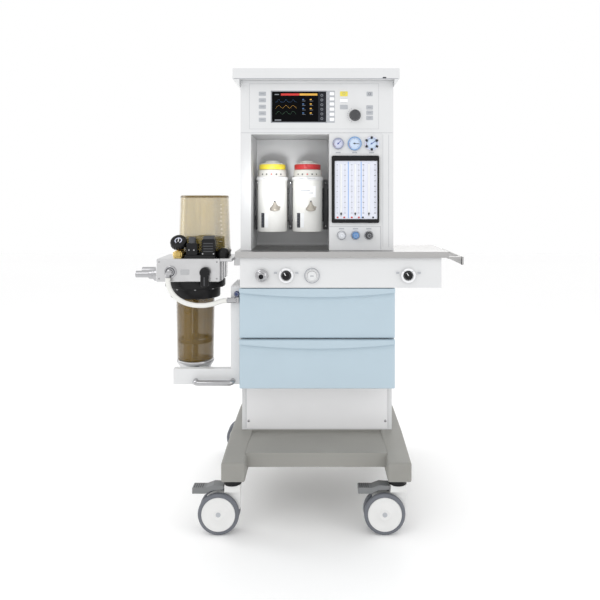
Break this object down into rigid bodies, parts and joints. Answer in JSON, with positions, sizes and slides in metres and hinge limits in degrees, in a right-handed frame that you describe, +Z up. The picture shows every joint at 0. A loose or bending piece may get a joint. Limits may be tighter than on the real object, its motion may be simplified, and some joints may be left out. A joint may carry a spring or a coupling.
{
  "type": "anesthesia machine",
  "caption": "Wheeled anesthesia machine with two vaporizers, flowmeter and monitor over a steel worktop and drawers, and a bellows absorber at its left side.",
  "frame": {"origin": "centre of the machine's bounding box, on the floor under the wheels", "axes": "+Z up, the monitor and drawers face -Y, the absorber hangs at -X"},
  "size_m": [1.0754, 0.69, 1.435],
  "materials": {
    "housing_white": "satin white enamel",
    "cabinet_white": "satin white powder coat",
    "panel_grey": "satin light grey powder coat",
    "drawer_blue": "satin light blue",
    "base_grey": "satin warm grey paint",
    "stainless": "brushed stainless steel",
    "chrome": "bright chrome",
    "block_metal": "bead-blasted aluminium",
    "black_plastic": "black moulded plastic",
    "dark_grey_plastic": "dark grey moulded plastic",
    "pedal_grey": "grey moulded plastic",
    "amber_clear": "clear amber polysulfone",
    "tyre_grey": "grey rubber tyre with a white cover",
    "caster_white": "white moulded plastic",
    "screen_glass": "dark glossy display window",
    "flow_panel_clear": "clear window over a pale scale",
    "gauge_grey": "grey-rimmed dial",
    "gauge_blue": "blue-rimmed dial",
    "gauge_black": "black-rimmed dial",
    "vaporizer_cream": "cream-white enamel",
    "dial_yellow": "yellow moulded plastic",
    "dial_red": "dark red moulded plastic",
    "knob_clear": "pale translucent plastic",
    "knob_blue": "blue plastic",
    "brass": "polished brass",
    "hose_white": "white silicone",
    "bellows_black": "black rubber"
  },
  "bodies": {
    "chassis": {"absorber_block": "block_metal", "absorber_canister": "amber_clear", "apl_valve_body": "brass", "arm_connector": "chrome", "base_frame": "base_grey", "bellows": "bellows_black", "bellows_base": "black_plastic", "bellows_dome": "amber_clear", "canister_collar": "black_plastic", "canister_cup": "block_metal", "control_apron": "housing_white", "display_screen": "screen_glass", "expiratory_valve": "black_plastic", "flowmeter_bezel": "black_plastic", "flowmeter_block": "flow_panel_clear", "fresh_gas_hose": "hose_white", "gas_outlet": "chrome", "gauge_left": "gauge_grey", "gauge_middle": "gauge_blue", "gauge_right": "gauge_black", "instrument_panel": "housing_white", "lower_cabinet": "cabinet_white", "lower_front_panel": "panel_grey", "monitor_fascia": "housing_white", "side_rail": "stainless", "support_arm": "housing_white", "top_lid": "housing_white", "tray_handle": "chrome", "upper_cabinet": "housing_white", "valve_manifold": "black_plastic", "vaporizer_back_bar": "dark_grey_plastic", "vaporizer_left_body": "vaporizer_cream", "vaporizer_right_body": "vaporizer_cream", "worktop": "stainless"},
    "caster_front_left": {"caster_front_left_housing": "caster_white"},
    "wheels_front_left": {"caster_front_left_wheels": "tyre_grey"},
    "caster_front_right": {"caster_front_right_housing": "caster_white"},
    "wheels_front_right": {"caster_front_right_wheels": "tyre_grey"},
    "caster_rear_left": {"caster_rear_left_housing": "caster_white"},
    "wheels_rear_left": {"caster_rear_left_wheels": "tyre_grey"},
    "caster_rear_right": {"caster_rear_right_housing": "caster_white"},
    "wheels_rear_right": {"caster_rear_right_wheels": "tyre_grey"},
    "pedal_front_left": {"brake_pedal_front_left": "pedal_grey"},
    "pedal_front_right": {"brake_pedal_front_right": "pedal_grey"},
    "drawer_upper": {"drawer_upper_front": "drawer_blue", "drawer_upper_tray": "cabinet_white"},
    "drawer_lower": {"drawer_lower_front": "drawer_blue", "drawer_lower_tray": "cabinet_white"},
    "encoder_knob": {"encoder_knob": "dark_grey_plastic"},
    "flow_knob_left": {"flow_knob_left": "knob_clear"},
    "flow_knob_middle": {"flow_knob_middle": "knob_blue"},
    "flow_knob_right": {"flow_knob_right": "dark_grey_plastic"},
    "mode_knob": {"mode_knob": "black_plastic"},
    "power_knob": {"power_knob": "black_plastic"},
    "flush_button": {"flush_button": "housing_white"},
    "vaporizer_left_dial": {"vaporizer_left_dial": "dial_yellow"},
    "vaporizer_right_dial": {"vaporizer_right_dial": "dial_red"},
    "apl_valve_knob": {"apl_valve_knob": "black_plastic"},
    "bag_vent_lever": {"bag_vent_lever": "black_plastic"},
    "bellows_plate": {"bellows_plate": "dark_grey_plastic"}
  },
  "joints": [
    {"name": "swivel_front_left", "type": "hinge", "parent": "chassis", "child": "caster_front_left", "pos_m": [-0.189, -0.3, 0.15], "axis": [0, 0, 1], "continuous": true},
    {"name": "roll_front_left", "type": "hinge", "parent": "caster_front_left", "child": "wheels_front_left", "pos_m": [-0.23, -0.3, 0.0625], "axis": [0, -1, 0], "continuous": true},
    {"name": "swivel_front_right", "type": "hinge", "parent": "chassis", "child": "caster_front_right", "pos_m": [0.313, -0.3, 0.15], "axis": [0, 0, 1], "continuous": true},
    {"name": "roll_front_right", "type": "hinge", "parent": "caster_front_right", "child": "wheels_front_right", "pos_m": [0.272, -0.3, 0.0625], "axis": [0, -1, 0], "continuous": true},
    {"name": "swivel_rear_left", "type": "hinge", "parent": "chassis", "child": "caster_rear_left", "pos_m": [-0.189, 0.3, 0.15], "axis": [0, 0, 1], "continuous": true},
    {"name": "roll_rear_left", "type": "hinge", "parent": "caster_rear_left", "child": "wheels_rear_left", "pos_m": [-0.23, 0.3, 0.0625], "axis": [0, -1, 0], "continuous": true},
    {"name": "swivel_rear_right", "type": "hinge", "parent": "chassis", "child": "caster_rear_right", "pos_m": [0.313, 0.3, 0.15], "axis": [0, 0, 1], "continuous": true},
    {"name": "roll_rear_right", "type": "hinge", "parent": "caster_rear_right", "child": "wheels_rear_right", "pos_m": [0.272, 0.3, 0.0625], "axis": [0, -1, 0], "continuous": true},
    {"name": "brake_front_left", "type": "hinge", "parent": "caster_front_left", "child": "pedal_front_left", "pos_m": [-0.219, -0.3, 0.1415], "axis": [0, -1, 0], "range_deg": [0, 10]},
    {"name": "brake_front_right", "type": "hinge", "parent": "caster_front_right", "child": "pedal_front_right", "pos_m": [0.283, -0.3, 0.1415], "axis": [0, -1, 0], "range_deg": [0, 10]},
    {"name": "drawer_upper_slide", "type": "slide", "parent": "chassis", "child": "drawer_upper", "axis": [0, -1, 0], "range_m": [0, 0.3]},
    {"name": "drawer_lower_slide", "type": "slide", "parent": "chassis", "child": "drawer_lower", "axis": [0, -1, 0], "range_m": [0, 0.3]},
    {"name": "encoder_knob_turn", "type": "hinge", "parent": "chassis", "child": "encoder_knob", "pos_m": [0.1917, -0.16, 1.2869], "axis": [0, -1, 0], "continuous": true},
    {"name": "flow_knob_left_turn", "type": "hinge", "parent": "chassis", "child": "flow_knob_left", "pos_m": [0.1475, -0.16, 0.894], "axis": [0, -1, 0], "range_deg": [0, 330]},
    {"name": "flow_knob_middle_turn", "type": "hinge", "parent": "chassis", "child": "flow_knob_middle", "pos_m": [0.1933, -0.16, 0.894], "axis": [0, -1, 0], "range_deg": [0, 330]},
    {"name": "flow_knob_right_turn", "type": "hinge", "parent": "chassis", "child": "flow_knob_right", "pos_m": [0.2369, -0.16, 0.894], "axis": [0, -1, 0], "range_deg": [0, 330]},
    {"name": "mode_knob_turn", "type": "hinge", "parent": "chassis", "child": "mode_knob", "pos_m": [-0.0313, -0.205, 0.7683], "axis": [0, -1, 0], "range_deg": [0, 90]},
    {"name": "power_knob_turn", "type": "hinge", "parent": "chassis", "child": "power_knob", "pos_m": [0.359, -0.205, 0.7683], "axis": [0, -1, 0], "range_deg": [-90, 0]},
    {"name": "flush_button_press", "type": "slide", "parent": "chassis", "child": "flush_button", "axis": [0, 1, 0], "range_m": [0, 0.0042], "stiffness_N_per_m": 900},
    {"name": "vaporizer_left_dial_turn", "type": "hinge", "parent": "chassis", "child": "vaporizer_left_dial", "pos_m": [-0.0847, -0.075, 1.12], "axis": [0, 0, 1], "range_deg": [0, 270]},
    {"name": "vaporizer_right_dial_turn", "type": "hinge", "parent": "chassis", "child": "vaporizer_right_dial", "pos_m": [0.0347, -0.075, 1.12], "axis": [0, 0, 1], "range_deg": [0, 270]},
    {"name": "apl_valve_turn", "type": "hinge", "parent": "chassis", "child": "apl_valve_knob", "pos_m": [-0.384, -0.158, 0.864], "axis": [0, -0.7071, 0.7071], "range_deg": [0, 300]},
    {"name": "bag_vent_turn", "type": "hinge", "parent": "chassis", "child": "bag_vent_lever", "pos_m": [-0.2928, -0.19, 0.777], "axis": [0, -1, 0], "range_deg": [0, 90]},
    {"name": "bellows_rise", "type": "slide", "parent": "chassis", "child": "bellows_plate", "axis": [0, 0, 1], "range_m": [0, 0.12], "deforming": ["bellows"]}
  ]
}
